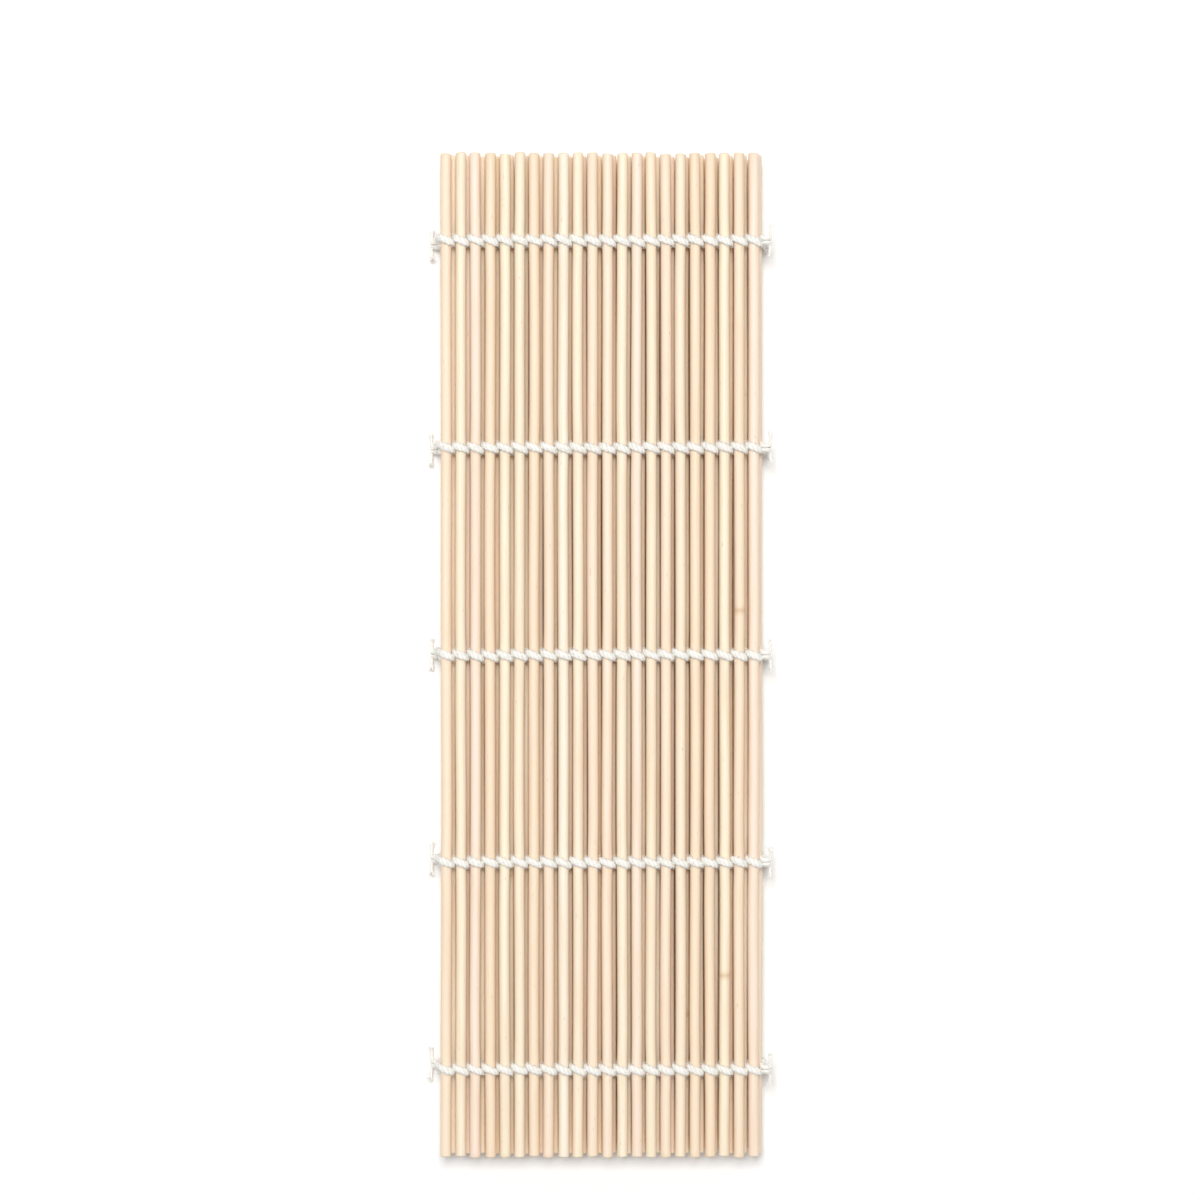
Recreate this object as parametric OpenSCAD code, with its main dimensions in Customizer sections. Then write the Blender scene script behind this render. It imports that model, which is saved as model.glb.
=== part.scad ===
// Sushi rolling mat of round bamboo sticks twined with cotton string, stored folded in three.
// The sticks lie along Y and the three panels are stacked along Z, zigzag, like a leporello.
// The top panel can roll up stick by stick, and the whole stack opens out to one flat mat.

/* [Sticks] */
// Length of every stick
stick_len = 240; // [150:1:320]
// Diameter of every stick
stick_d = 2.6; // [2:0.1:5]
// Bevel round the cut ends of a stick
stick_bevel = 0.2; // [0.05:0.05:0.5]
// Number of sticks in each of the three panels
sticks_per_panel = 22; // [6:1:26]

/* [Strings] */
// Diameter of one strand of the twined string
string_d = 0.8; // [0.5:0.05:1.5]
// Free space between a strand and the stick beside it
string_clear = 0.05; // [0.03:0.01:0.3]
// Distance that a strand crosses sideways as it passes one stick, half of it to each side
string_spread = 2; // [1.8:0.1:4]
// Number of twined string rows along the sticks
row_count = 5; // [2:1:6]
// Distance between string rows
row_pitch = 49.5; // [20:0.5:52]
// Distance from a gap's middle at which a strand's loops stop, to let two sticks hinge there
strand_stop = 0.1; // [0.08:0.01:0.16]

/* [Folding] */
// Free space between two stacked panels
layer_gap = 0.15; // [0.1:0.05:1]
// Sideways shift of the middle panel, which puts its sticks behind the gaps of the top one
middle_shift = 0.9; // [0:0.1:1.2]

/* [Edge knots] */
// Inner diameter of the turn that ties off a string row
knot_bore = 0.3; // [0.2:0.05:0.6]
// Length of each of the two cut tails of a knot
tail_len = 3.5; // [2.5:0.5:8]
// Diameter of a cut tail
tail_d = 0.6; // [0.4:0.05:1]
// Free space between a knot and the strands that it ties off
knot_clear = 0.1; // [0.05:0.05:0.4]

/* [Resting face] */
// Depth of the flat that the bottom strings rest on
foot_cut = 0.15; // [0.05:0.01:0.3]

/* [Hidden] */
$fn = 48;
bamboo = "#F3DFBB";
cotton = "#FBF8F0";
pitch = stick_d + string_d + 2 * string_clear;
loop_r = norm([pitch, string_spread]) / 2;
twine_angle = atan(string_spread / pitch);
stop_angle = asin(strand_stop / loop_r);
crown_stop = 90 + stop_angle;
crossing_d = string_d + string_clear;
crossing_h = 3 * strand_stop;
layer_half = loop_r + string_d / 2;
layer_step = 2 * layer_half + layer_gap;
bottom_z = layer_half - foot_cut;
middle_z = bottom_z + layer_step;
top_z = middle_z + layer_step;
edge_x = sticks_per_panel * pitch / 2;
fold_rise = layer_step - loop_r;
knot_r = (knot_bore + string_d) / 2;
tail_x = string_d / 2 + knot_clear + max(string_d, tail_d) / 2;

function stick_x(k) = (k - (sticks_per_panel + 1) / 2) * pitch;
function row_y(row) = (row - (row_count - 1) / 2) * row_pitch;
function two_digits(k) = str(k < 10 ? "0" : "", k);
function stick_name(k) = str("top_stick_", two_digits(k));
function ties_name(k) = str("top_ties_", two_digits(k));

// One bamboo stick along Y, centred on the origin, bevelled at both cut ends
module stick() {
    r = stick_d / 2;
    half = stick_len / 2;
    rotate([90, 0, 0]) rotate_extrude() polygon([
        [0, -half], [r - stick_bevel, -half], [r, stick_bevel - half],
        [r, half - stick_bevel], [r - stick_bevel, half], [0, half]
    ]);
}

// A bent strand in the XZ plane, between two angles counted from +X towards +Z
module strand_arc(r, from, to) {
    rotate([90, 0, 0]) rotate([0, 0, from])
        rotate_extrude(angle = to - from) translate([r, 0]) circle(d = string_d);
}

// The strand over one stick, slanting across it, cut short by the given angles at its left and right end
module over_loop(left_stop, right_stop) {
    rotate([0, 0, -twine_angle]) strand_arc(loop_r, right_stop, 180 - left_stop);
}

// The other strand, which passes under the same stick and slants the other way
module under_loop(left_stop, right_stop) {
    rotate([180, 0, 0]) over_loop(left_stop, right_stop);
}

// At a fold, the loops on the side that faces the other panel end at the stick's crown
function stop_at(fold, side) = fold == side ? crown_stop : stop_angle;

// One unbroken strand across a panel, which passes over every second stick and under the others
module strand(starts_over, left_fold, right_fold) {
    last = sticks_per_panel;
    for (k = [1:last]) {
        side = (k % 2 == 1) == starts_over ? "over" : "under";
        left_stop = k == 1 ? stop_at(left_fold, side) : stop_angle;
        right_stop = k == last ? stop_at(right_fold, side) : stop_angle;
        translate([stick_x(k), 0, 0])
            if (side == "over") over_loop(left_stop, right_stop);
            else under_loop(left_stop, right_stop);
        if (k < last) translate([stick_x(k) + pitch / 2, (side == "over" ? -1 : 1) * string_spread / 2, 0])
            cylinder(d = crossing_d, h = crossing_h, center = true);
    }
}

module each_row() {
    for (row = [0:row_count - 1]) translate([0, row_y(row), 0]) children();
}

module panel_sticks() {
    for (k = [1:sticks_per_panel]) translate([stick_x(k), 0, 0]) stick();
}

module panel_strings(left_fold, right_fold) {
    each_row() {
        strand(true, left_fold, right_fold);
        strand(false, left_fold, right_fold);
    }
}

// The strand that leaves the crown of the lower panel's last stick at X = 0 and turns up to the middle plane of
// the upper panel, the given distance further out
module fold_strand(across) {
    run = norm([across, string_spread / 2]);
    r = (run * run + fold_rise * fold_rise) / (2 * fold_rise);
    from = asin(strand_stop / r) - 90;
    to = asin((fold_rise - r - strand_stop) / (r + string_d / 2));
    translate([0, 0, r]) rotate([0, 0, -atan(string_spread / 2 / across)]) strand_arc(r, from, to);
}

// Both strands of each row at a fold, with the last stick of the lower panel at X = 0 and that of the upper
// panel shifted outwards
module fold_loops() {
    each_row() {
        translate([0, 0, loop_r - layer_step / 2]) fold_strand(pitch / 2 + middle_shift);
        translate([middle_shift, 0, layer_step / 2 - loop_r]) rotate([180, 0, 0])
            fold_strand(pitch / 2 - middle_shift);
    }
}

// The turn and the two cut tails that finish each string row, outwards along +X from a free edge at X = 0
module edge_knots() {
    each_row() {
        translate([tail_x + knot_r, 0, 0]) strand_arc(knot_r, 0, 360);
        translate([tail_x, 0, 0]) rotate([90, 0, 0]) cylinder(d = tail_d, h = 2 * tail_len, center = true);
    }
}

module top_stick(k) {
    color(bamboo) translate([stick_x(k), 0, top_z]) stick();
}

module top_ties(k) {
    color(cotton) translate([stick_x(k), 0, top_z]) each_row() {
        over_loop(stop_angle, stop_angle);
        under_loop(k == 1 ? crown_stop : stop_angle, stop_angle);
    }
}

module top_edge_knots() {
    color(cotton) translate([edge_x, 0, top_z]) edge_knots();
}

module left_fold_loops() {
    color(cotton) translate([stick_x(1) + middle_shift, 0, (middle_z + top_z) / 2])
        rotate([0, 0, 180]) fold_loops();
}

module middle_sticks() {
    color(bamboo) translate([middle_shift, 0, middle_z]) panel_sticks();
}

module middle_strings() {
    color(cotton) translate([middle_shift, 0, middle_z]) panel_strings("over", "under");
}

module right_fold_loops() {
    color(cotton) translate([stick_x(sticks_per_panel), 0, (bottom_z + middle_z) / 2]) fold_loops();
}

module bottom_sticks() {
    color(bamboo) translate([0, 0, bottom_z]) panel_sticks();
}

// The lowest crests of these strings are cut flat, so that the mat stands on them
module bottom_strings() {
    color(cotton) difference() {
        translate([0, 0, bottom_z]) panel_strings("none", "over");
        translate([-edge_x, -stick_len / 2, -layer_half]) cube([2 * edge_x, stick_len, layer_half]);
    }
}

module bottom_edge_knots() {
    color(cotton) translate([-edge_x, 0, bottom_z]) mirror([1, 0, 0]) edge_knots();
}

for (k = [1:sticks_per_panel]) {
    top_stick(k);
    top_ties(k);
}
top_edge_knots();
left_fold_loops();
middle_sticks();
middle_strings();
right_fold_loops();
bottom_sticks();
bottom_strings();
bottom_edge_knots();
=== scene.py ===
import math

import bpy
import numpy as np
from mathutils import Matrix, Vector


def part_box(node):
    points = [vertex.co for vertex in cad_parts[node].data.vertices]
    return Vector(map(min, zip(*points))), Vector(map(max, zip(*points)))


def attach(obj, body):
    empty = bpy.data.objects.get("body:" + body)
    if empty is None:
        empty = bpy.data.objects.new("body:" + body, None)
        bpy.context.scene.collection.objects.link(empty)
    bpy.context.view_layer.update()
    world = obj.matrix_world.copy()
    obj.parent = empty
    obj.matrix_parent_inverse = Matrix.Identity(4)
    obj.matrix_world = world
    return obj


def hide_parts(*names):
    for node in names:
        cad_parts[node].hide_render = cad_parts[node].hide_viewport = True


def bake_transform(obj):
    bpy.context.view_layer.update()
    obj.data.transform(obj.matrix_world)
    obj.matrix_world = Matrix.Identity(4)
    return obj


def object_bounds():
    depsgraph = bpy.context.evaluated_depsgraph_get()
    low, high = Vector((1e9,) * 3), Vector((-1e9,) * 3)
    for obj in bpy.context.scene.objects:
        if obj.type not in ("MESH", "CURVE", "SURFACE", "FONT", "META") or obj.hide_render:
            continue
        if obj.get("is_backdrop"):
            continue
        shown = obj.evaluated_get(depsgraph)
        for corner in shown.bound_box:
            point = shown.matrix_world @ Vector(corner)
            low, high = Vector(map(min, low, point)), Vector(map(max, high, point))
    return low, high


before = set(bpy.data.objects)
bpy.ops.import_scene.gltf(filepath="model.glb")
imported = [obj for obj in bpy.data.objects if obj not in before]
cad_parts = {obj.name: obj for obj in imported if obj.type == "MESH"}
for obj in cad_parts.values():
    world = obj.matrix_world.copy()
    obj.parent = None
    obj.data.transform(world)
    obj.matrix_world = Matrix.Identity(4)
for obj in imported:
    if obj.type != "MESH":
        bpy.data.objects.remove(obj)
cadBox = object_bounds()
print("frame loaded:", len(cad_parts), "nodes")

mm = 0.001  # shapes are worked out in millimetres and turned to metres in their meshes


def boxOf(node):
    # Lowest and highest corner of a node, in mm
    low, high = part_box(node)
    return np.array(low) / mm, np.array(high) / mm


# The mat's measures, read from the frame
stickNodes = sorted(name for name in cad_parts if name.startswith("top_stick_"))
firstLow, firstHigh = boxOf(stickNodes[0])
lastLow, lastHigh = boxOf(stickNodes[-1])
stickCount = len(stickNodes)
stickRadius = (firstHigh[2] - firstLow[2]) / 2
stickLength = firstHigh[1] - firstLow[1]
pitch = (lastLow[0] - firstLow[0]) / (stickCount - 1)
edgeX = stickCount * pitch / 2
layerNames = ["bottom", "middle", "top"]
layerNodes = dict(zip(layerNames, ["bottom_sticks", "middle_sticks", stickNodes[0]]))
layerZ = {layer: sum(boxOf(node))[2] / 2 for layer, node in layerNodes.items()}
halfStep = (layerZ["middle"] - layerZ["bottom"]) / 2
middleShift = sum(boxOf("middle_sticks"))[0] / 2
firstX = -(stickCount - 1) / 2 * pitch
stickX = {
    layer: firstX + np.arange(stickCount) * pitch + (middleShift if layer == "middle" else 0)
    for layer in layerNames
}


# Camera, straight above the mat as in the photograph
camera = {
    "lens": 100,  # mm
    "sensor": 36,  # mm
    "imageSize": 1200,  # pixels
    "mmPerPixel": 0.239,
    "matCentre": (600, 655),  # pixels
}


def makeCamera():
    # Distance from the top sticks = width seen there x lens / sensor
    pixels, scale = camera["imageSize"], camera["mmPerPixel"]
    distance = pixels * scale * camera["lens"] / camera["sensor"]
    x = (pixels / 2 - camera["matCentre"][0]) * scale
    y = (camera["matCentre"][1] - pixels / 2) * scale
    data = bpy.data.cameras.new("camera")
    data.lens, data.sensor_width = camera["lens"], camera["sensor"]
    data.clip_start, data.clip_end = 0.01, 20
    eye = bpy.data.objects.new("camera", data)
    eye.location = (x * mm, y * mm, (layerZ["top"] + distance) * mm)
    bpy.context.scene.collection.objects.link(eye)
    bpy.context.scene.camera = eye


makeCamera()


# Meshes
def unit(vectors):
    return vectors / np.maximum(np.linalg.norm(vectors, axis=-1, keepdims=True), 1e-9)


def skin(grids, **values):
    # grids has many shapes, each of rings of points: quads join neighbouring rings, and a fan of
    # triangles round the middle of the first and of the last ring closes each shape
    many, rings, sides = grids.shape[:3]
    ends = grids[:, [0, -1]].mean(axis=2)
    vertices = np.concatenate([grids.reshape(many, -1, 3), ends], axis=1)
    ring, side = np.arange(rings - 1)[:, None] * sides, np.arange(sides)[None]
    after = (side + 1) % sides
    quads = np.stack([ring + side, ring + after, ring + sides + after, ring + sides + side], axis=-1)
    side, after, last = side[0], after[0], (rings - 1) * sides
    start = np.stack([np.full(sides, rings * sides), after, side], axis=-1)
    end = np.stack([np.full(sides, rings * sides + 1), last + side, last + after], axis=-1)
    step = (np.arange(many) * (rings * sides + 2))[:, None, None]
    painted = {}
    for name, value in values.items():
        value = np.broadcast_to(value, (many, rings, sides))
        middles = value[:, [0, -1]].mean(axis=2)
        painted[name] = np.concatenate([value.reshape(many, -1), middles], axis=1).ravel()
    return {
        "vertices": vertices.reshape(-1, 3),
        "quads": (quads.reshape(-1, 4) + step).reshape(-1, 4),
        "triangles": (np.concatenate([start, end]) + step).reshape(-1, 3),
        "values": painted,
    }


def makePiece(name, skins, material, sharpAngle=None):
    # One object from several skins, with a point attribute for each painted value
    starts = np.cumsum([0] + [len(part["vertices"]) for part in skins])
    vertices = np.concatenate([part["vertices"] for part in skins]) * mm
    quads = np.concatenate([part["quads"] + at for part, at in zip(skins, starts)])
    triangles = np.concatenate([part["triangles"] + at for part, at in zip(skins, starts)])
    corners = np.concatenate([quads.ravel(), triangles.ravel()])
    sizes = np.concatenate([np.full(len(quads), 4), np.full(len(triangles), 3)])
    mesh = bpy.data.meshes.new(name)
    mesh.vertices.add(len(vertices))
    mesh.vertices.foreach_set("co", vertices.astype(np.float32).ravel())
    mesh.loops.add(len(corners))
    mesh.loops.foreach_set("vertex_index", corners.astype(np.int32))
    mesh.polygons.add(len(sizes))
    mesh.polygons.foreach_set("loop_start", np.cumsum(np.concatenate([[0], sizes[:-1]])).astype(np.int32))
    mesh.polygons.foreach_set("use_smooth", np.ones(len(sizes), bool))
    mesh.update(calc_edges=True)
    for key in sorted({key for part in skins for key in part["values"]}):
        empty = [np.zeros(len(part["vertices"])) for part in skins]
        value = np.concatenate([part["values"].get(key, none) for part, none in zip(skins, empty)])
        mesh.attributes.new(key, "FLOAT", "POINT").data.foreach_set("value", value.astype(np.float32))
    if sharpAngle:
        mesh.set_sharp_from_angle(angle=math.radians(sharpAngle))
    mesh.materials.append(material)
    piece = bpy.data.objects.new(name, mesh)
    bpy.context.scene.collection.objects.link(piece)
    return piece


# Materials
def colour(code):
    # sRGB hex to the linear values that sockets hold
    channels = [int(code[at:at + 2], 16) / 255 for at in (1, 3, 5)]
    return [c / 12.92 if c <= 0.04045 else ((c + 0.055) / 1.055) ** 2.4 for c in channels] + [1]


def addNode(tree, kind, settings=None, links=None):
    # A node with its settings, by property name or input name or number, and its linked inputs. "stops"
    # fills a colour ramp
    node = tree.nodes.new(kind)
    for key, value in (settings or {}).items():
        if key == "stops":
            elements = node.color_ramp.elements
            while len(elements) < len(value):
                elements.new(1)
            for element, (place, shade) in zip(elements, value):
                element.position, element.color = place, shade
        elif isinstance(key, int) or key in node.inputs:
            node.inputs[key].default_value = value
        else:
            setattr(node, key, value)
    for key, output in (links or {}).items():
        tree.links.new(output, node.inputs[key])
    return node


def newMaterial(name, shaderSettings):
    material = bpy.data.materials.new(name)
    material.use_nodes = True
    tree = material.node_tree
    tree.nodes.clear()
    shader = addNode(tree, "ShaderNodeBsdfPrincipled", shaderSettings)
    addNode(tree, "ShaderNodeOutputMaterial", {}, {"Surface": shader.outputs[0]})
    return material, tree, shader


def grey(level):
    return (level, level, level, 1)


bambooLook = {
    "tones": ["#FCF3E2", "#FBEDD6", "#FCF0D8", "#FBE8D2", "#FCEADC", "#F9E4CA"],
    "skinTone": "#F5E2BC",  # the outer wood of the cane
    "skinShare": 0.45,
    "streakTone": "#EFCDA0",
    "streakShare": 0.55,
    "flankTone": "#EDBB8C",  # painted shade on each stick's sides, where neighbours nearly touch
    "flankShare": 0.3,
    "patchTone": "#F5D8BF",
    "patchShare": 0.6,
    "fleckTone": "#B98A57",
    "fleckShare": 0.4,
    "markTone": "#C79A63",  # the scar of a leaf node
    "markShare": 0.45,
    "endTone": "#E2C08E",
    "endShare": 0.8,
    "poreTone": "#A87B4B",
    "poreShare": 0.7,
    "fibreWidth": 0.28,  # mm across one bundle of fibres; drawn coarser than the real 0.15 so that it shows
    "fibreLength": 22,  # mm
    "patchWidth": 2.5,  # mm
    "patchLength": 38,  # mm
    "fleckSize": 0.35,  # mm
    "poreSize": 0.34,  # mm between the vessels in a cut end
    "fibreDepth": 0.03,  # mm
    "roughness": (0.44, 0.6),
    "glow": 0.2,  # share of the light that passes a little way through the wood
    "glowReach": (1.2, 0.8, 0.5),  # mm for red, green and blue
}


def makeBamboo():
    # Planed and rounded bamboo, unvarnished: pale straw, satin, with long straight fibres and dotted
    # cut ends
    look = bambooLook
    settings = {
        "IOR": 1.5, "Specular IOR Level": 0.4, "Subsurface Weight": look["glow"], "Subsurface Scale": mm,
        "Subsurface Radius": look["glowReach"],
    }
    material, tree, shader = newMaterial("planed_bamboo", settings)
    place = addNode(tree, "ShaderNodeTexCoord").outputs["Object"]

    def stretched(width, length, detail):
        # Noise drawn out along the sticks
        scale = (1 / (width * mm), 1 / (length * mm), 1 / (width * mm))
        mapping = addNode(tree, "ShaderNodeMapping", {"Scale": scale}, {"Vector": place})
        return addNode(
            tree, "ShaderNodeTexNoise", {"Scale": 1, "Detail": detail, "Roughness": 0.6},
            {"Vector": mapping.outputs[0]},
        ).outputs[0]

    def painted(name):
        return addNode(tree, "ShaderNodeAttribute", {"attribute_name": name}).outputs["Fac"]

    def ranged(value, low, high, toLow=0, toHigh=1):
        settings = {"From Min": low, "From Max": high, "To Min": toLow, "To Max": toHigh}
        return addNode(tree, "ShaderNodeMapRange", settings, {"Value": value}).outputs[0]

    def times(value, factor):
        return addNode(tree, "ShaderNodeMath", {"operation": "MULTIPLY", 1: factor}, {0: value}).outputs[0]

    def over(base, top, share):
        settings = {"data_type": "RGBA", 7: colour(top)}
        return addNode(tree, "ShaderNodeMix", settings, {0: share, 6: base}).outputs[2]

    fibres = stretched(look["fibreWidth"], look["fibreLength"], 3)
    patches = stretched(look["patchWidth"], look["patchLength"], 2)
    flecks = stretched(look["fleckSize"], look["fleckSize"] * 7, 1)
    tones = [(at / len(look["tones"]), colour(tone)) for at, tone in enumerate(look["tones"])]
    base = addNode(tree, "ShaderNodeValToRGB", {"stops": tones}, {0: painted("tone")}).outputs[0]
    base = over(base, look["skinTone"], times(painted("skin"), look["skinShare"]))
    base = over(base, look["patchTone"], ranged(patches, 0.5, 0.75, 0, look["patchShare"]))
    base = over(base, look["streakTone"], ranged(fibres, 0.52, 0.78, 0, look["streakShare"]))
    # painted shade: the sides of each stick are darkened and warmed
    base = over(base, look["flankTone"], times(painted("flank"), look["flankShare"]))
    base = over(base, look["fleckTone"], ranged(flecks, 0.74, 0.8, 0, look["fleckShare"]))
    base = over(base, look["markTone"], times(painted("mark"), look["markShare"]))
    pores = addNode(tree, "ShaderNodeTexVoronoi", {"Scale": 1 / (look["poreSize"] * mm)}, {"Vector": place})
    cut = over(base, look["endTone"], times(painted("cut"), look["endShare"]))
    dots = addNode(
        tree, "ShaderNodeMath", {"operation": "MULTIPLY"},
        {0: painted("cut"), 1: ranged(pores.outputs["Distance"], 0.32, 0.2)},
    ).outputs[0]
    base = over(cut, look["poreTone"], times(dots, look["poreShare"]))
    tree.links.new(base, shader.inputs["Base Color"])
    tree.links.new(ranged(fibres, 0.3, 0.7, *look["roughness"]), shader.inputs["Roughness"])
    bump = addNode(
        tree, "ShaderNodeBump", {"Strength": 0.6, "Distance": look["fibreDepth"] * mm}, {"Height": fibres}
    )
    tree.links.new(bump.outputs[0], shader.inputs["Normal"])
    return material


cottonLook = {
    "tone": "#FFFEFA",
    "valleyTone": "#EFE8DA",  # painted shade in the groove between two plies
    "valleyShare": 0.75,
    "fibreWidth": 0.09,  # mm; drawn coarser than the real 0.02 so that it shows
    "fibreDepth": 0.03,  # mm
}


def makeCotton():
    # Soft bleached cotton yarn of three plies, unwaxed: chalk white, dull and a little downy, with painted
    # shade that darkens it in the grooves between the plies
    look = cottonLook
    settings = {"Roughness": 0.95, "Specular IOR Level": 0.2, "Sheen Weight": 0.35, "Sheen Roughness": 0.6}
    material, tree, shader = newMaterial("cotton_yarn", settings)
    place = addNode(tree, "ShaderNodeTexCoord").outputs["Object"]
    down = addNode(
        tree, "ShaderNodeTexNoise", {"Scale": 1 / (look["fibreWidth"] * mm), "Detail": 3}, {"Vector": place}
    ).outputs[0]
    # painted shade in the grooves between the plies
    valley = addNode(tree, "ShaderNodeAttribute", {"attribute_name": "valley"}).outputs["Fac"]
    settings = {"operation": "MULTIPLY", 1: look["valleyShare"]}
    share = addNode(tree, "ShaderNodeMath", settings, {0: valley}).outputs[0]
    base = addNode(
        tree, "ShaderNodeMix", {"data_type": "RGBA", 6: colour(look["tone"]), 7: colour(look["valleyTone"])},
        {0: share},
    ).outputs[2]
    tree.links.new(base, shader.inputs["Base Color"])
    bump = addNode(
        tree, "ShaderNodeBump", {"Strength": 0.7, "Distance": look["fibreDepth"] * mm}, {"Height": down}
    )
    tree.links.new(bump.outputs[0], shader.inputs["Normal"])
    return material


bamboo = makeBamboo()
cotton = makeCotton()
print("materials made")


# Sticks
stick = {
    "sides": 24,
    "bodyRings": 54,
    "bevel": 0.2,  # mm
    "shorter": 0.35,  # mm that either end may fall short of the full length
    "slant": 0.08,  # mm that a cut end leans over its radius
    "bow": 0.16,  # mm that a stick may wander sideways between string rows
    "bowWaves": ((0.6, 37), (0.4, 17)),  # share of the bow, and mm along the stick for each radian
    "lift": 0.05,  # mm that it may wander up and down
    "liftWave": 29,  # mm for each radian
    "grip": 5,  # mm either side of a string row where the strings hold it straight
    "hold": 0.8,  # share of the wander that a string row takes away
    "oval": 0.012,  # share of the radius
    "swell": 0.006,  # share of the radius
    "swellWave": 21,  # mm for each radian
    "markShare": 0.14,  # share of the sticks with the scar of a leaf node
    "markWidth": 0.7,  # mm
    "markSwell": 0.02,  # share of the radius
    "markInset": 15,  # mm from a stick's end
    "firstRing": 1,  # mm from a stick's end
    "seed": 11,
}
string = {
    "rows": 5,
    "rowPitch": 49.5,  # mm
    "sideStep": 0.7,  # mm that a strand stands off its row's line in the gaps
    "gapThickness": 0.44,  # mm, half, where two sticks squeeze the strand
    "gapWidth": 0.72,  # mm, half
    "crownThickness": 0.5,  # mm, half, on top of a stick
    "crownWidth": 0.92,  # mm, half
    "slub": 0.09,  # share by which the yarn swells and thins along its length
    "slubWaves": ((0.6, 4.3), (0.4, 1.9)),  # share of the slub, and rings for each radian
    "ringsPerLoop": 24,
    "sides": 18,
    "plies": 3,
    "plyDepth": 0.15,  # share of the strand's half thickness
    "twist": 3.2,  # mm for a full turn of the plies
    "wander": 0.12,  # mm that a row's line strays
    "wanderWaves": ((1, 3.1), (0.6, 1.3)),  # weight, and gaps for each radian
    "unrest": 0.08,  # mm that one crossing strays
    "foldBulge": 0.75,  # mm that a strand stands out at a fold, past the gap that it ends in
    "foldLift": 4,  # mm, pull of its curve at the far end
    "foldSlant": 0.7,  # share of the slant over a stick
    "foldRings": 34,
    "hairs": 110,  # for each loop that shows
    "hairsInside": 5,  # for each loop of the lower panels
    "hairLength": (0.5, 1.5),  # mm
    "hairHeight": (0.05, 0.5),  # mm
    "hairRadius": 0.036,  # mm at its root
    "hairRoot": 0.85,  # share of the way from the strand's middle to its skin
    "hairArch": 2.4,  # radians of a sine over its length
    "seed": 5,
}
rowY = (np.arange(string["rows"]) - (string["rows"] - 1) / 2) * string["rowPitch"]


def stickSkin(x, z, random):
    # A profile of radii carried along the stick. Its ring is slightly oval and its middle line wanders
    # in sine waves, which the string rows hold down
    half = stickLength / 2
    low, high = -half + random.uniform(0, stick["shorter"]), half - random.uniform(0, stick["shorter"])
    bevel, width = stick["bevel"], stick["markWidth"]
    markY = random.uniform(low + stick["markInset"], high - stick["markInset"])
    marked = random.random() < stick["markShare"]
    body = np.linspace(low + stick["firstRing"], high - stick["firstRing"], stick["bodyRings"])
    body = np.sort(np.concatenate([body, markY + width * np.array([-2, -1, -0.5, 0, 0.5, 1, 2])]))
    y = np.concatenate([[low] * 3, [low + bevel], body, [high - bevel], [high] * 3])
    cap = np.array([0.35, 0.72, 1 - bevel / stickRadius, 1])  # rings of the flat end, its rim and the bevel
    share = np.concatenate([cap, np.ones(len(body)), cap[::-1]])
    cut = np.zeros(len(y))
    cut[:3] = cut[-3:] = 1
    mark = np.exp(-(((y - markY) / width) ** 2)) * (1 - cut) * marked
    turn = np.arange(stick["sides"]) * 2 * np.pi / stick["sides"]
    phase = random.uniform(0, 2 * np.pi, 8)
    oval = stick["oval"]
    ring = 1 - oval + oval * 0.7 * np.cos(2 * turn + phase[0]) + oval * 0.3 * np.cos(3 * turn + phase[1])
    swell = 1 + stick["swell"] * np.sin(y / stick["swellWave"] + phase[2]) + stick["markSwell"] * mark
    radius = stickRadius * (share * swell)[:, None] * ring[None]
    held = 1 - stick["hold"] * np.exp(-(((y[:, None] - rowY[None]) / stick["grip"]) ** 2)).sum(axis=1)
    waves = sum(part * np.sin(y / reach + at) for (part, reach), at in zip(stick["bowWaves"], phase[3:5]))
    middleX = x + stick["bow"] * held * waves
    middleZ = z + stick["lift"] * held * np.sin(y / stick["liftWave"] + phase[5])
    lean = stick["slant"] * (share * cut)[:, None] * np.cos(turn[None] + phase[6])
    grid = np.stack(
        [
            middleX[:, None] + radius * np.cos(turn),
            y[:, None] + lean,
            middleZ[:, None] - radius * np.sin(turn),
        ],
        axis=-1,
    )
    skinSide = np.clip(np.cos(turn - phase[7]) * 1.4 - 0.4, 0, 1) * random.random()
    # mask for painted shade, strongest on the sides that face the neighbouring sticks
    flank = np.abs(np.cos(turn)) ** 2.5
    return skin(
        grid[None], tone=random.random(), skin=skinSide[None, None], flank=flank[None, None],
        mark=mark[None, :, None], cut=cut[None, :, None],
    )


def makeSticks():
    random = np.random.default_rng(stick["seed"])
    for layer in layerNames:
        skins = [stickSkin(x, layerZ[layer], random) for x in stickX[layer]]
        if layer == "top":
            for node, part in zip(stickNodes, skins):
                piece = makePiece(node.replace("top_stick", "bamboo_top"), [part], bamboo, 40)
                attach(piece, node.replace("stick_", ""))
                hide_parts(node)
        else:
            piece = makePiece("bamboo_" + layer, skins, bamboo, 40)
            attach(piece, layer + "_panel")
            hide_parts(layerNodes[layer])


makeSticks()
print("sticks made:", len(layerNames) * stickCount)


# Strings
crown = stickRadius + string["crownThickness"]


def makePath(points, normals, thickness, width):
    # A line with its frame: tangent, outward normal square to it, the direction across both, and the
    # length so far
    tangent = unit(np.gradient(points, axis=0))
    across = unit(np.cross(tangent, normals))
    steps = np.linalg.norm(np.diff(points, axis=0), axis=1)
    return {
        "points": points,
        "tangent": tangent,
        "across": across,
        "normal": np.cross(across, tangent),
        "length": np.concatenate([[0], np.cumsum(steps)]),
        "thickness": np.broadcast_to(thickness, len(points)),
        "width": np.broadcast_to(width, len(points)),
    }


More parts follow.
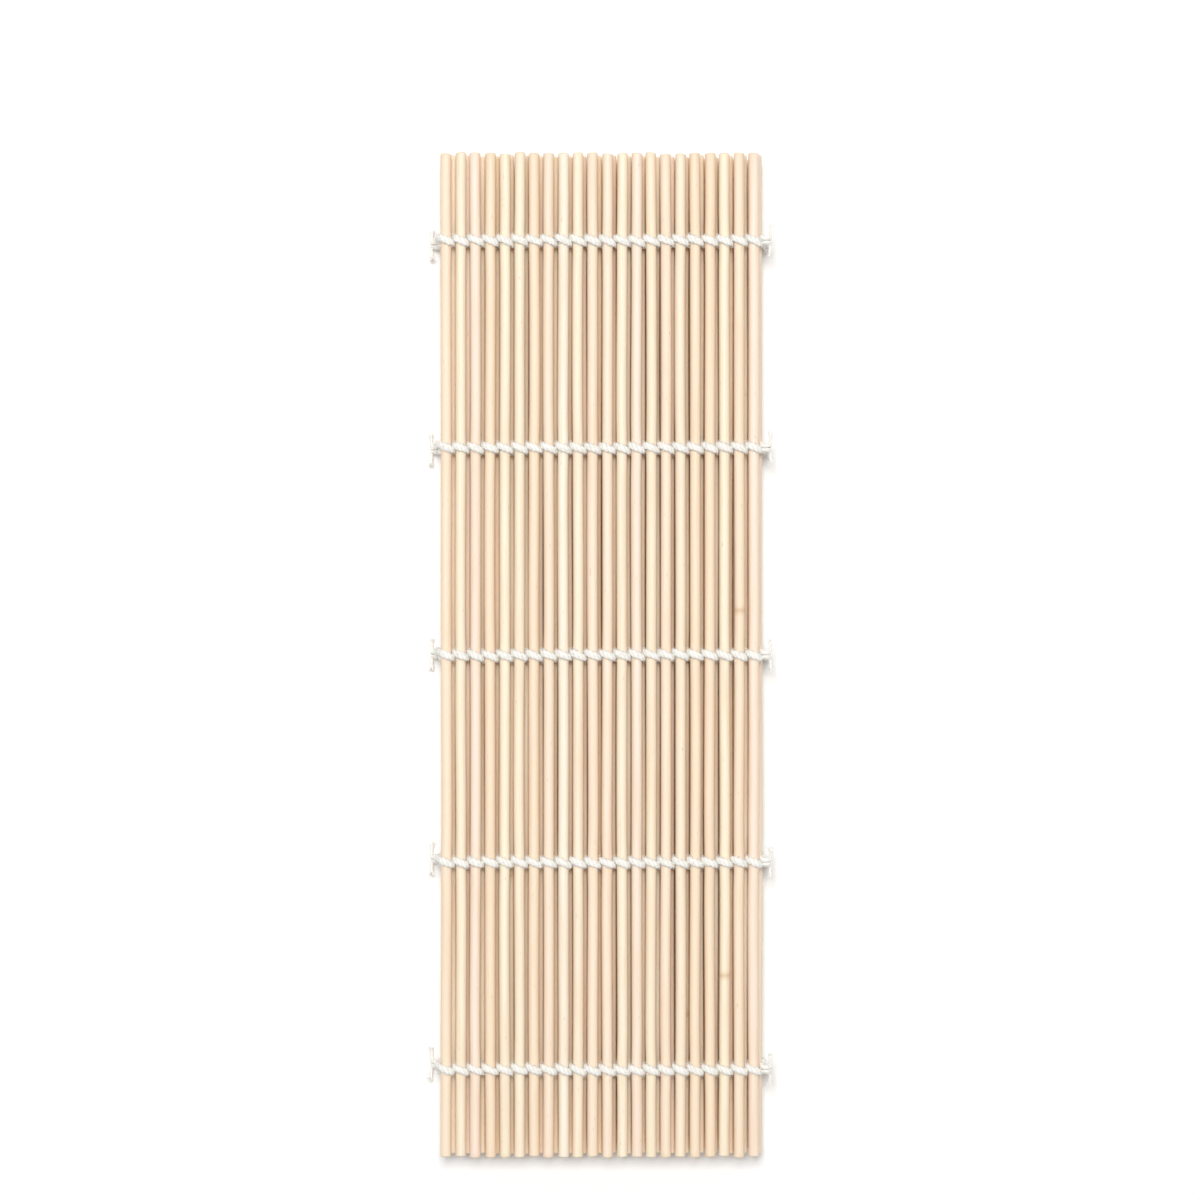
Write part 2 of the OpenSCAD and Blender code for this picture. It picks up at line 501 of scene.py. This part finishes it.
def yarn(path, first, last, lowest=None, depth=string["plyDepth"]):
    # Rings of twisted yarn: the outline has one lobe for each ply and turns with the length, and each
    # end is rounded over by rings that shrink with the cosine while they move on with the sine
    bend = np.radians([75, 50, 25])
    index = np.concatenate([[first] * 3, np.arange(first, last + 1), [last] * 3])
    plain = np.zeros(last + 1 - first)
    shrink = np.concatenate([np.cos(bend), plain + 1, np.cos(bend[::-1])])
    ahead = np.concatenate([-np.sin(bend), plain, np.sin(bend[::-1])])
    turn = np.arange(string["sides"]) * 2 * np.pi / string["sides"]
    lobe = np.abs(np.cos(turn * string["plies"] / 2))
    at = {key: value[index] for key, value in path.items()}
    angle = turn[None] + (at["length"] * 2 * np.pi / string["twist"])[:, None]
    reach = (1 - depth + depth * lobe)[None] * shrink[:, None]
    grid = at["points"] + at["tangent"] * (ahead * at["thickness"])[:, None]
    outwards = at["thickness"][:, None] * reach * np.cos(angle)
    sideways = at["width"][:, None] * reach * np.sin(angle)
    grid = grid[:, None] + at["normal"][:, None] * outwards[..., None]
    grid = grid + at["across"][:, None] * sideways[..., None]
    if lowest is not None:
        grid[..., 2] = np.maximum(grid[..., 2], lowest)
    # the valley mask marks the grooves between plies, where the cotton material paints shade
    return skin(grid[None], valley=(1 - lobe)[None, None] * (depth > 0))


def hairs(path, first, last, count, random, lowest=None):
    # Loose fibres: each is a thin three-sided tube that leaves the strand, arches over it and tapers
    at = random.integers(first, last + 1, count)
    angle = random.uniform(0, 2 * np.pi, count)
    pick = {key: value[at] for key, value in path.items()}
    toSkin = pick["normal"] * (pick["thickness"] * np.cos(angle))[:, None]
    toSkin = toSkin + pick["across"] * (pick["width"] * np.sin(angle))[:, None]
    out = unit(toSkin)
    heading = random.uniform(0, 2 * np.pi, count)[:, None]
    along = pick["tangent"] * np.cos(heading) + np.cross(pick["tangent"], out) * np.sin(heading)
    share = np.linspace(0, 1, 5)[None, :, None]
    length = random.uniform(*string["hairLength"], count)[:, None, None]
    height = random.uniform(*string["hairHeight"], count)[:, None, None]
    rise = out[:, None] * height * np.sin(share * string["hairArch"])
    root = pick["points"] + toSkin * string["hairRoot"]
    middle = root[:, None] + rise + along[:, None] * length * share
    turn = np.arange(3) * 2 * np.pi / 3
    side = np.cross(along, out)
    radius = (string["hairRadius"] * (1.2 - share))[..., None]
    ring = out[:, None, None] * np.cos(turn)[:, None] + side[:, None, None] * np.sin(turn)[:, None]
    grids = middle[:, :, None] + ring * radius
    if lowest is not None:
        grids[..., 2] = np.maximum(grids[..., 2], lowest)
    return skin(grids, valley=0)


def loopLine(x, z, over, leftY, rightY, start, end):
    # Half an ellipse round a stick: x goes with cos t, z with sin t, and y evenly with x. t is 0 at the
    # right gap and pi at the left one. The normal points away from the stick above it and towards it
    # below
    t = np.linspace(start, end, 1 + round(string["ringsPerLoop"] * abs(end - start) / np.pi))
    side = 1 if over else -1
    y = (leftY + rightY) / 2 + (rightY - leftY) / 2 * np.cos(t)
    points = np.stack([x + pitch / 2 * np.cos(t), y, z + side * crown * np.sin(t)], axis=1)
    normals = np.stack([side * np.cos(t), 0 * t, np.sin(t)], axis=1)
    return points, normals, np.sin(t)


def foldLine(outward, rise, hingeZ, crownX, gapX, crownY, slope, gapY):
    # A cubic curve at a fold. It leaves the crown of the stick that faces the other panel, bulges
    # outwards past the edge and reaches the other panel's middle plane square to it. Halfway along it
    # stands the bulge outside the gap that it ends in
    u = np.linspace(0, 1, 400)
    stay, go = 2 * u ** 3 - 3 * u ** 2 + 1, 3 * u ** 2 - 2 * u ** 3
    pull, arrive = u ** 3 - 2 * u ** 2 + u, u ** 3 - u ** 2
    reach = outward * 8 * string["foldBulge"] + 4 * (gapX - crownX)
    x = crownX * stay + reach * pull + gapX * go
    y = crownY * stay + slope * reach * string["foldSlant"] * pull + gapY * go
    z = hingeZ + rise * ((crown - halfStep) * stay + halfStep * go + string["foldLift"] * arrive)
    points = np.stack([x, y, z], axis=1)
    tangent = unit(np.gradient(points, axis=0))
    normals = rise * outward * np.stack([-tangent[:, 2], 0 * u, tangent[:, 0]], axis=1)
    press = 1 - u ** 4
    length = np.concatenate([[0], np.cumsum(np.linalg.norm(np.diff(points, axis=0), axis=1))])
    even = np.linspace(0, length[-1], string["foldRings"])
    line = np.column_stack([points, normals, press])
    line = np.stack([np.interp(even, length, column) for column in line.T], axis=1)
    line = line if rise > 0 else line[::-1]
    return line[:, :3], line[:, 3:6], line[:, 6]


def strandThroughMat(row, strand, gaps):
    # The whole course of one strand, from the bottom panel's free edge to the top panel's, with the
    # piece that each stretch belongs to. It passes over every second stick and under the others
    stretches = []
    for level, layer in enumerate(layerNames):
        heading = -1 if layer == "middle" else 1
        order = range(stickCount)[::heading]
        for stickIndex in order:
            over = (stickIndex % 2 == 0) == (strand == 0)
            start, end = (np.pi, 0) if heading > 0 else (0, np.pi)
            if stickIndex == order[0] and level > 0 and not over:
                start = np.pi / 2
            if stickIndex == order[-1] and level < 2 and over:
                end = np.pi / 2
            left, right = gaps[layer][stickIndex], gaps[layer][stickIndex + 1]
            name = f"ties_top_{stickIndex + 1:02d}" if layer == "top" else f"twine_{layer}_row_{row + 1}"
            x = stickX[layer][stickIndex]
            stretches.append((name, *loopLine(x, layerZ[layer], over, left, right, start, end)))
        if level == 2:
            continue
        above = layerNames[level + 1]
        lower, upper = (layer, above) if over else (above, layer)
        edgeStick, edgeGap = (stickCount - 1, stickCount) if heading > 0 else (0, 0)
        left, right = gaps[lower][edgeStick], gaps[lower][edgeStick + 1]
        place = ("right" if heading > 0 else "left") + ("_outer" if over else "_inner")
        hingeZ = (layerZ[layer] + layerZ[above]) / 2
        line = foldLine(
            heading, 1 if over else -1, hingeZ, stickX[lower][edgeStick],
            stickX[upper][edgeStick] + heading * pitch / 2, (left + right) / 2, (right - left) / pitch,
            gaps[upper][edgeGap],
        )
        stretches.append(("fold_" + place, *line))
    return stretches


def joinStretches(stretches, phase):
    # One path from all stretches, whose normals are turned over where needed to run on without a jump,
    # and the first and last ring of each piece along it. Two sine waves along it swell and thin the
    # yarn
    points, normals, press, pieces = [], [], [], []
    count = 0
    for name, line, normal, pressed in stretches:
        skip = 1 if points else 0
        if skip and np.dot(normals[-1][-1], normal[0]) < 0:
            normal = -normal
        points.append(line[skip:])
        normals.append(normal[skip:])
        press.append(pressed[skip:])
        first, count = max(count - 1, 0), count + len(line) - skip
        if pieces and pieces[-1][0] == name:
            pieces[-1][2] = count - 1
        else:
            pieces.append([name, first, count - 1])
    press = np.concatenate(press)
    count = np.arange(len(press))
    waves = sum(part * np.sin(count / reach + at) for (part, reach), at in zip(string["slubWaves"], phase))
    slub = 1 + string["slub"] * waves
    thickness = string["gapThickness"] + (string["crownThickness"] - string["gapThickness"]) * press
    width = slub * (string["gapWidth"] + (string["crownWidth"] - string["gapWidth"]) * press)
    return makePath(np.concatenate(points), np.concatenate(normals), thickness, width), pieces


def makeStrings():
    # Each strand is laid through the whole mat once and then cut into the pieces that move apart
    random = np.random.default_rng(string["seed"])
    skins = {}
    weight = sum(part for part, reach in string["wanderWaves"])
    for row, middleY in enumerate(rowY):
        phases = {layer: random.uniform(0, 2 * np.pi, 2) for layer in layerNames}
        for strand in range(2):
            gaps = {}
            gapIndex = np.arange(stickCount + 1)
            side = np.where((gapIndex % 2 == 0) == (strand == 0), 1, -1)
            for layer in layerNames:
                waves = zip(string["wanderWaves"], phases[layer])
                stray = sum(part * np.sin(gapIndex / reach + at) for (part, reach), at in waves)
                unrest = random.uniform(-1, 1, stickCount + 1) * string["unrest"]
                gaps[layer] = middleY + side * string["sideStep"] + string["wander"] * stray / weight + unrest
            phase = random.uniform(0, 2 * np.pi, 2)
            path, pieces = joinStretches(strandThroughMat(row, strand, gaps), phase)
            for name, first, last in pieces:
                lowest = 0 if name.startswith("twine_bottom") else None
                loops = max(1, round((last - first) / string["ringsPerLoop"]))
                count = loops * (string["hairsInside"] if name.startswith("twine") else string["hairs"])
                parts = skins.setdefault(name, [])
                parts.append(yarn(path, first, last, lowest))
                parts.append(hairs(path, first, last, count, random, lowest))
    return {name: makePiece(name, parts, cotton) for name, parts in sorted(skins.items())}


stringPieces = makeStrings()
for name, piece in stringPieces.items():
    if name.startswith("ties_top_"):
        node = name.replace("ties_top", "top_ties")
        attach(piece, node.replace("ties_", ""))
        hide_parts(node)
    elif name.startswith("twine_"):
        layer = name.split("_")[1]
        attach(piece, layer + "_panel")
        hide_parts(layer + "_strings")
    else:
        # a strand at a fold runs from the lower panel to the upper one; it is baked in place and attached to
        # neither body, and the heights near and far where it would turn between them are worked out but not
        # used
        where, kind = name.split("_")[1:]
        lower, upper = ("bottom", "middle") if where == "right" else ("middle", "top")
        hingeZ = (layerZ[lower] + layerZ[upper]) / 2
        near, far = hingeZ + crown - halfStep, hingeZ + halfStep
        if kind == "inner":
            near, far = 2 * hingeZ - far, 2 * hingeZ - near
        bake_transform(piece)
        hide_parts(where + "_fold_loops")
print("strings made:", len(stringPieces), "pieces")


# Knots that tie off each row at the two free edges
knot = {
    "axisOut": 1.2,  # mm from the edge to the line that the strands twist round
    "core": 0.38,  # mm, radius of the inner twist
    "wrap": 0.95,  # mm, radius of the outer turn
    "yarn": 0.38,  # mm, half thickness of the tightened strand
    "tail": 2.9,  # mm from the row's line to where the plies come apart
    "ply": 0.19,  # mm, half thickness of one ply
    "fray": 1.3,  # mm
    "rounding": 0.45,  # mm of the line over which its corners are averaged
    "step": 0.12,  # mm between rings
    "hairs": 26,
    "frayHairs": 8,
    "seed": 23,
}


def knotStrand(random):
    # One of a knot's two strands, as angle, radius and y round a line along Y that lies outside the
    # edge. They go evenly from key to key, and a running mean rounds the corners: in from the gap, half
    # a twist with the other strand, two turns round both, and out as a tail
    core, wrap, out, side = knot["core"], knot["wrap"], knot["axisOut"], string["sideStep"]
    loose = random.uniform(-0.12, 0.12, 4)
    keys = np.array([
        (180, out, side), (150, out, side), (80, 0.7, 0.8), (15, core, 0.5), (-195, core, -0.5),
        (-290, 0.7, -0.72), (-400, wrap, -0.48), (-720, wrap, -0.4 + loose[0]),
        (-735 + 60 * loose[1], wrap + 0.1, -1.2),
        (-745 + 90 * loose[2], wrap + 0.2 + loose[3], -knot["tail"]),
    ])
    change = np.diff(keys, axis=0)
    radius = (keys[1:, 1] + keys[:-1, 1]) / 2
    span = np.hypot(np.radians(change[:, 0]) * radius, change[:, 2]) + np.abs(change[:, 1])
    length = np.concatenate([[0], np.cumsum(span)])
    even = np.linspace(0, length[-1], round(length[-1] / knot["step"]))
    window = 2 * round(knot["rounding"] / knot["step"]) + 1
    smooth = []
    for column in keys.T:
        padded = np.pad(np.interp(even, length, column), window // 2, mode="reflect", reflect_type="odd")
        smooth.append(np.convolve(padded, np.ones(window) / window, mode="valid"))
    angle, radius, y = np.radians(smooth[0]), smooth[1], smooth[2]
    points = np.stack([out + radius * np.cos(angle), y, radius * np.sin(angle)], axis=1)
    normals = np.stack([np.cos(angle), 0 * y, np.sin(angle)], axis=1)
    lead = np.clip(even / 1.5, 0, 1)
    thickness = string["gapThickness"] + (knot["yarn"] - string["gapThickness"]) * lead
    width = string["gapWidth"] + (knot["yarn"] * 1.05 - string["gapWidth"]) * lead
    return makePath(points, normals, thickness, width)


def frayedPlies(path, random):
    # Three single plies that go on from a tail's end and lean apart with the square of their length
    share = np.linspace(0, 1, 9)[:, None]
    tangent, normal, across = (path[key][-1] for key in ("tangent", "normal", "across"))
    for ply in range(string["plies"]):
        angle = 2 * np.pi * ply / string["plies"] + random.uniform(-0.3, 0.3)
        out = normal * np.cos(angle) + across * np.sin(angle)
        start = path["points"][-1] + out * knot["ply"] - tangent * 0.4
        lean = out * random.uniform(0.25, 0.55) * share ** 2
        line = start + tangent * (knot["fray"] + random.uniform(-0.3, 0.2)) * share + lean
        taper = knot["ply"] * (1 - 0.35 * share[:, 0] ** 2)
        yield makePath(line, np.broadcast_to(out, line.shape), taper, taper)


def turned(part, signs, place):
    # The same skin half a turn round an axis, then moved, and kept above the surface that the mat lies on
    vertices = part["vertices"] * signs + place
    vertices[:, 2] = np.maximum(vertices[:, 2], 0)
    return {**part, "vertices": vertices}


def makeKnots():
    random = np.random.default_rng(knot["seed"])
    for layer, edge, body in (("top", edgeX, f"top_{stickCount:02d}"), ("bottom", -edgeX, "bottom_panel")):
        outward = np.array([1, 1, 1]) if edge > 0 else np.array([-1, -1, 1])
        skins = []
        for y in rowY:
            for half in (np.array([1, 1, 1]), np.array([1, -1, -1])):
                path = knotStrand(random)
                end = len(path["points"]) - 1
                parts = [yarn(path, 0, end), hairs(path, 0, end, knot["hairs"], random)]
                for ply in frayedPlies(path, random):
                    parts += [yarn(ply, 0, 8, depth=0), hairs(ply, 3, 8, knot["frayHairs"], random)]
                skins += [turned(part, half * outward, (edge, y, layerZ[layer])) for part in parts]
        piece = makePiece("knots_" + layer, skins, cotton)
        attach(piece, body)
        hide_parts(layer + "_edge_knots")


makeKnots()
print("knots made")


# Floor, world and lamps
stage = {
    "floorSize": 4,  # m
    "floorTone": "#FFFFFF",
    "worldLevel": 0.38,
    "keyPower": 16.8,  # W
    "keySize": 0.4,  # m
    "keyPlace": (-0.04, 0.3, 1.5),  # m
}


def makeStage():
    half = stage["floorSize"] / 2
    mesh = bpy.data.meshes.new("floor")
    corners = [(-half, -half, 0), (half, -half, 0), (half, half, 0), (-half, half, 0)]
    mesh.from_pydata(corners, [], [(0, 1, 2, 3)])
    floor = bpy.data.objects.new("floor", mesh)
    floor.location.z = -0.02 * mm
    bpy.context.scene.collection.objects.link(floor)
    settings = {"Roughness": 0.9, "Base Color": colour(stage["floorTone"])}
    mesh.materials.append(newMaterial("white_paper", settings)[0])
    floor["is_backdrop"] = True
    world = bpy.data.worlds.new("world")
    world.use_nodes = True
    background = world.node_tree.nodes["Background"]
    background.inputs["Color"].default_value = grey(1)
    background.inputs["Strength"].default_value = stage["worldLevel"]
    bpy.context.scene.world = world
    data = bpy.data.lights.new("key", "AREA")
    data.energy, data.size = stage["keyPower"], stage["keySize"]
    lamp = bpy.data.objects.new("key", data)
    lamp.location = stage["keyPlace"]
    lamp.rotation_mode = "QUATERNION"
    lamp.rotation_quaternion = (-lamp.location).to_track_quat("-Z", "Y")
    bpy.context.scene.collection.objects.link(lamp)
    bpy.context.scene.view_settings.view_transform = "Standard"


makeStage()

boxes = {"cad": cadBox, "visual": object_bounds()}
{name: [list(corner) for corner in box] for name, box in boxes.items()}
print("scene done")
